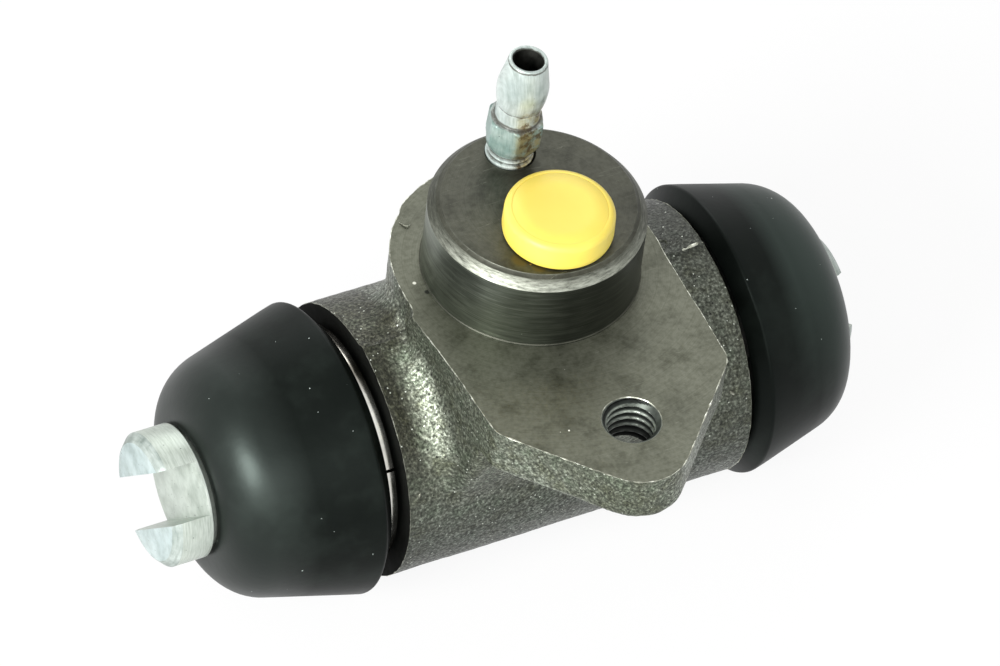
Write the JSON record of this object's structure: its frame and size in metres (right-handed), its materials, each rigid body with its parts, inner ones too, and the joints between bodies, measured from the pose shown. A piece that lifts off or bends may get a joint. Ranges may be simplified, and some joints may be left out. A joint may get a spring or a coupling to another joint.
{
  "type": "drum brake wheel cylinder",
  "caption": "Cast-iron drum brake wheel cylinder with a lobed flange, bleed screw, port plug, slotted pistons and rubber boots.",
  "frame": {"origin": "point where the boss axis meets the plane of the machined flange face, on which the cylinder bolts to the brake's backing plate", "axes": "+Z along the boss axis, out of the flange face towards the boss; +X along the bore towards the right piston; -Y towards the lobe with the threaded mounting hole"},
  "size_m": [0.1038, 0.062, 0.0761],
  "materials": {
    "cast_iron": "raw sand-cast skin with machined flange and boss faces",
    "zinc_plated_steel": "turned, blue zinc plated",
    "spring_steel": "bright",
    "boot_rubber": "moulded, satin",
    "seal_rubber": "moulded",
    "yellow_plastic": "moulded, slightly translucent"
  },
  "bodies": {
    "housing": {"housing": "cast_iron", "left_boot": "boot_rubber", "right_boot": "boot_rubber", "left_boot_ring": "spring_steel", "right_boot_ring": "spring_steel", "return_spring": "spring_steel"},
    "left_piston": {"left_piston": "zinc_plated_steel", "left_cup_seal": "seal_rubber", "left_cup_expander": "zinc_plated_steel"},
    "right_piston": {"right_piston": "zinc_plated_steel", "right_cup_seal": "seal_rubber", "right_cup_expander": "zinc_plated_steel"},
    "bleed_screw": {"bleed_screw": "zinc_plated_steel"},
    "port_plug": {"port_plug": "yellow_plastic"}
  },
  "joints": [
    {"name": "left_piston_slide", "type": "slide", "parent": "housing", "child": "left_piston", "axis": [-1, 0, 0], "range_m": [-0.0104, 0.0016], "deforming": ["left_boot", "return_spring"]},
    {"name": "right_piston_slide", "type": "slide", "parent": "housing", "child": "right_piston", "axis": [1, 0, 0], "range_m": [-0.003, 0.009], "deforming": ["right_boot", "return_spring"]},
    {"name": "bleed_screw_turn", "type": "hinge", "parent": "housing", "child": "bleed_screw", "pos_m": [0.0003, 0.0096, 0.0124], "axis": [0.0628, 0, 0.998], "range_deg": [-360, 0]},
    {"name": "port_plug_pull", "type": "slide", "parent": "housing", "child": "port_plug", "axis": [0, 0, 1], "range_m": [0, 0.009]}
  ]
}
